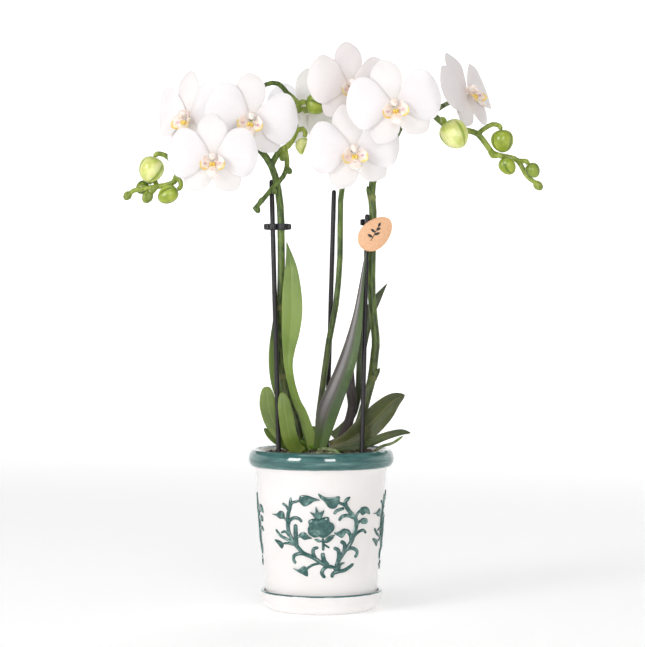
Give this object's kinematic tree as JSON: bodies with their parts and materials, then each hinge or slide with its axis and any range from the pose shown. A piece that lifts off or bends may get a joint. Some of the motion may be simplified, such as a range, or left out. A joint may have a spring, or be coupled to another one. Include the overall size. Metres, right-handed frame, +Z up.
{
  "type": "potted orchid",
  "caption": "Potted moth orchid: white flowers and buds on staked spikes, strap leaves, bark mix, in a tapered glazed planter on its saucer.",
  "frame": {"origin": "middle of the saucer's flat underside, on the planter's axis", "axes": "+Z up along the planter's axis, the planter's front and most flowers look along -Y, +X to the right seen from the front"},
  "size_m": [0.3145, 0.1205, 0.4264],
  "materials": {
    "white_glaze": "glossy white glaze with teal relief and rim",
    "grow_pot_plastic": "thin black plastic",
    "bark": "rough bark chips",
    "moss": "dry moss",
    "stake_plastic": "satin black",
    "clip_plastic": "satin black",
    "tag_card": "uncoated brown card",
    "crown_green": "waxy green",
    "leaf_green": "leathery, satin green",
    "root": "velvety grey green",
    "stem_green": "waxy dark green",
    "bud_green": "waxy yellow green",
    "petal_white": "soft satin white",
    "lip": "waxy white with yellow and red marks"
  },
  "bodies": {
    "root": {"saucer": "white_glaze", "planter": "white_glaze", "grow_pot": "grow_pot_plastic", "bark_mix": "bark", "moss": "moss", "stake_left": "stake_plastic", "stake_centre": "stake_plastic", "stake_right": "stake_plastic", "clip_left": "clip_plastic", "clip_right": "clip_plastic", "name_tag": "tag_card", "crown": "crown_green", "leaf_tall_left": "leaf_green", "leaf_back_left": "leaf_green", "leaf_short_left": "leaf_green", "leaf_short_front_left": "leaf_green", "leaf_stub_left": "leaf_green", "leaf_large_right": "leaf_green", "leaf_back_right": "leaf_green", "leaf_broad_right": "leaf_green", "leaf_thin_right": "leaf_green", "leaf_dark_right": "leaf_green", "root_arching": "root", "root_stub": "root", "spike_left": "stem_green", "spike_centre": "stem_green", "spike_right": "stem_green", "bud_left_large": "bud_green", "bud_left_round": "bud_green", "bud_left_small": "bud_green", "bud_branch_large": "bud_green", "bud_branch_bent": "bud_green", "bud_right_large": "bud_green", "bud_right_second": "bud_green", "bud_right_third": "bud_green", "bud_right_fourth": "bud_green", "flower_far_left_sepals": "petal_white", "flower_far_left_petals": "petal_white", "flower_far_left_lip": "lip", "flower_left_front_sepals": "petal_white", "flower_left_front_petals": "petal_white", "flower_left_front_lip": "lip", "flower_left_upper_sepals": "petal_white", "flower_left_upper_petals": "petal_white", "flower_left_upper_lip": "lip", "flower_turned_away_sepals": "petal_white", "flower_turned_away_petals": "petal_white", "flower_turned_away_lip": "lip", "flower_top_sepals": "petal_white", "flower_top_petals": "petal_white", "flower_top_lip": "lip", "flower_middle_front_sepals": "petal_white", "flower_middle_front_petals": "petal_white", "flower_middle_front_lip": "lip", "flower_middle_lower_sepals": "petal_white", "flower_middle_lower_petals": "petal_white", "flower_middle_lower_lip": "lip", "flower_far_right_sepals": "petal_white", "flower_far_right_petals": "petal_white", "flower_far_right_lip": "lip"}
  },
  "joints": []
}
